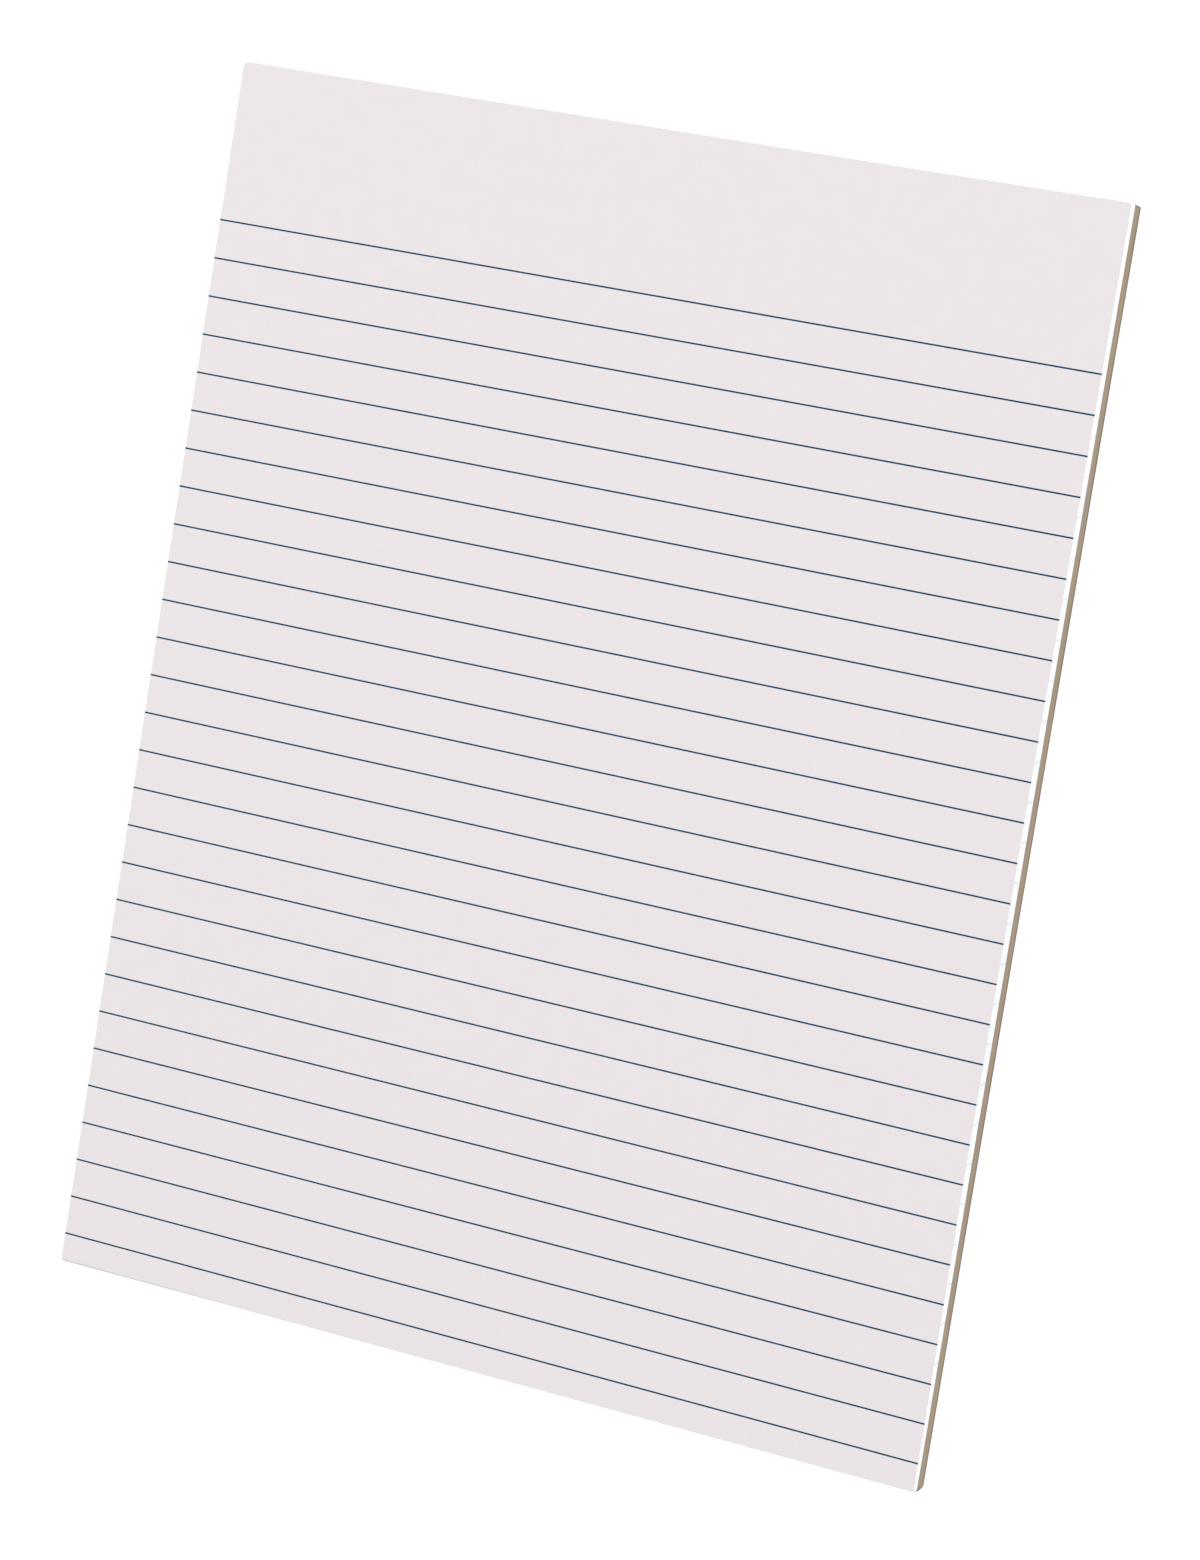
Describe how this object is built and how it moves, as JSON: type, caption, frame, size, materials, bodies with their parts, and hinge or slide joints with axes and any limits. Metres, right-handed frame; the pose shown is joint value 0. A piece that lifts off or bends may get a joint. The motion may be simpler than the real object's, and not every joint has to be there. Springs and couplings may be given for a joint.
{
  "type": "glue top pad",
  "caption": "Letter-size writing pad: ruled white sheets stacked on a thick chipboard back and held along the head by a film of padding glue.",
  "frame": {"origin": "middle of the pad's box, on the surface that the board lies on", "axes": "+X across the sheet to the reader's right, +Y up the page towards the glued head, +Z out of the writing face"},
  "size_m": [0.216, 0.2796, 0.0069],
  "materials": {
    "paper": "matt uncoated white",
    "ink": "matt printed dark blue",
    "chipboard": "matt grey-brown, unlined",
    "glue": "brushed-on film, dried satin"
  },
  "bodies": {
    "root": {"sheet_block": "paper", "ruled_lines": "ink", "backing_board": "chipboard", "glue_film": "glue"}
  },
  "joints": []
}
